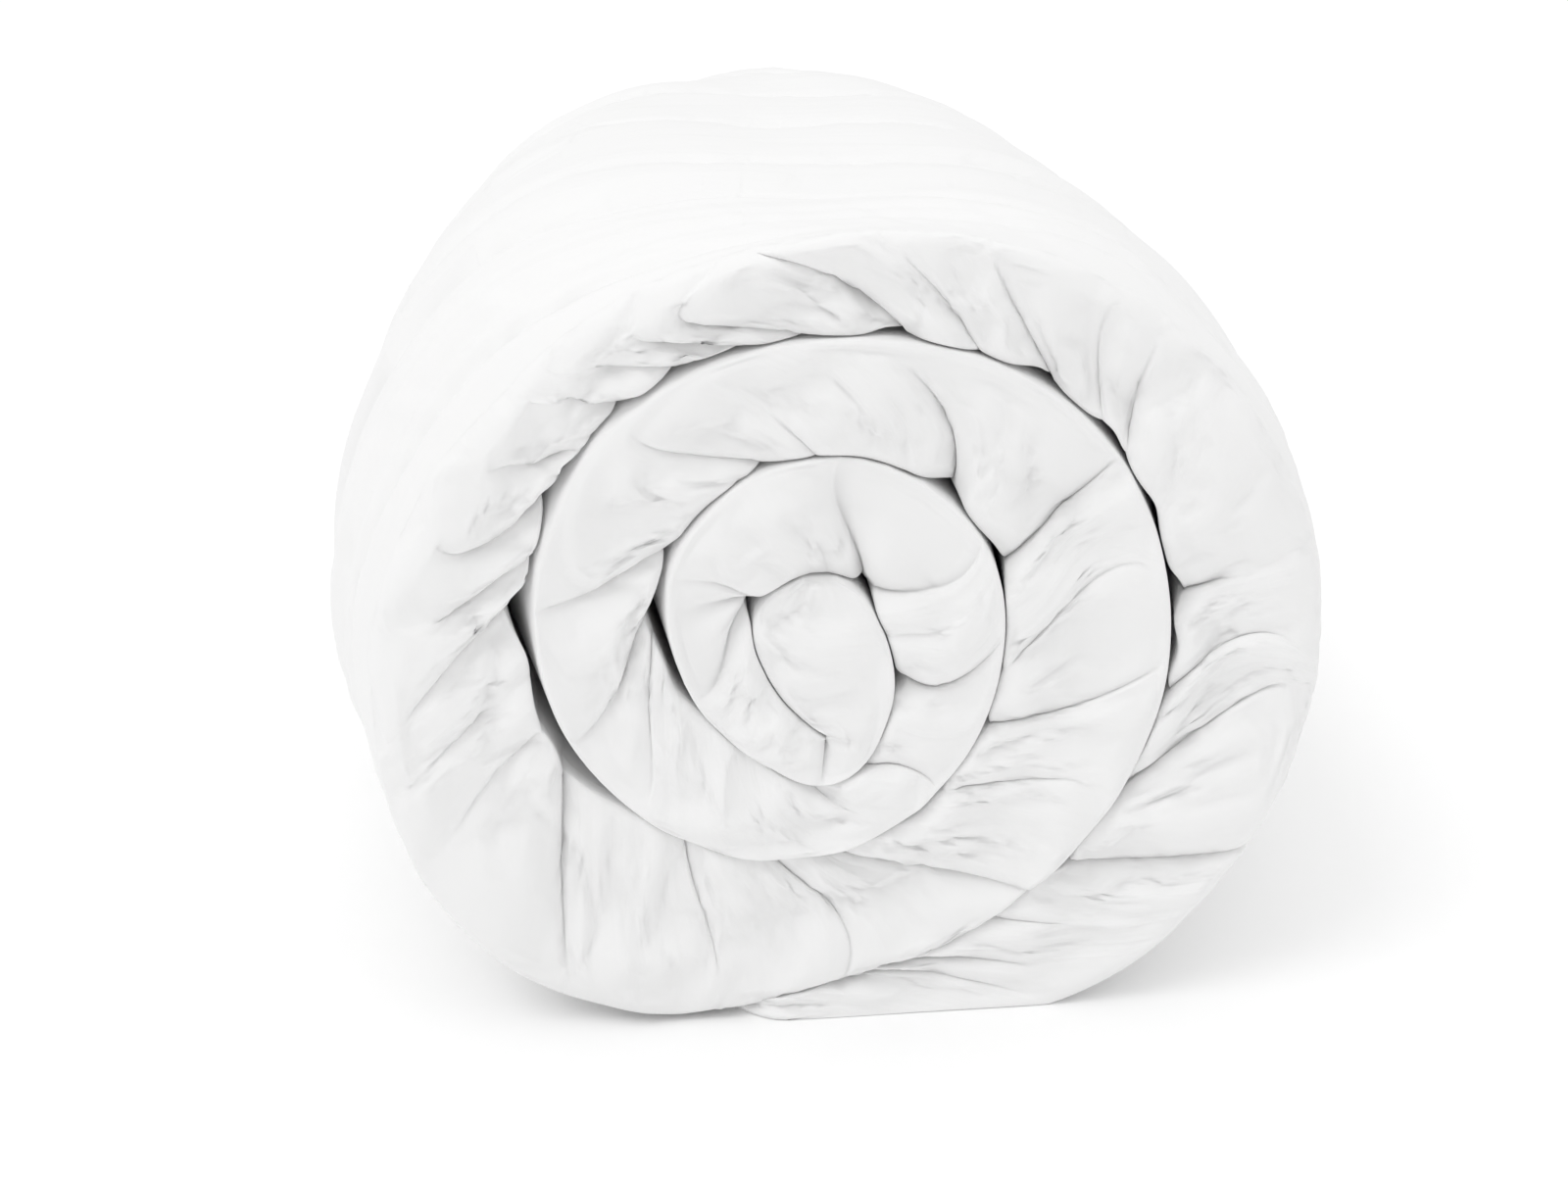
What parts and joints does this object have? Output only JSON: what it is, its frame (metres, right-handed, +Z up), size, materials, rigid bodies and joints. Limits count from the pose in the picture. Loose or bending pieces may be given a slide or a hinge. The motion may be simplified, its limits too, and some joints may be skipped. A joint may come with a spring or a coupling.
{
  "type": "rolled duvet",
  "caption": "Soft white filled duvet wound into a roll on its side, its end showing puffy spiral layers pinched into folds, its free end flat on the floor under it.",
  "frame": {"origin": "on the floor, under the middle of the roll's bounding box", "axes": "+Z up, +Y along the roll's axis from its near end to its far end, +X to the right seen from the near end"},
  "size_m": [0.398, 0.68, 0.2942],
  "materials": {
    "white_cotton": "matte"
  },
  "bodies": {
    "root": {"duvet": "white_cotton"}
  },
  "joints": []
}
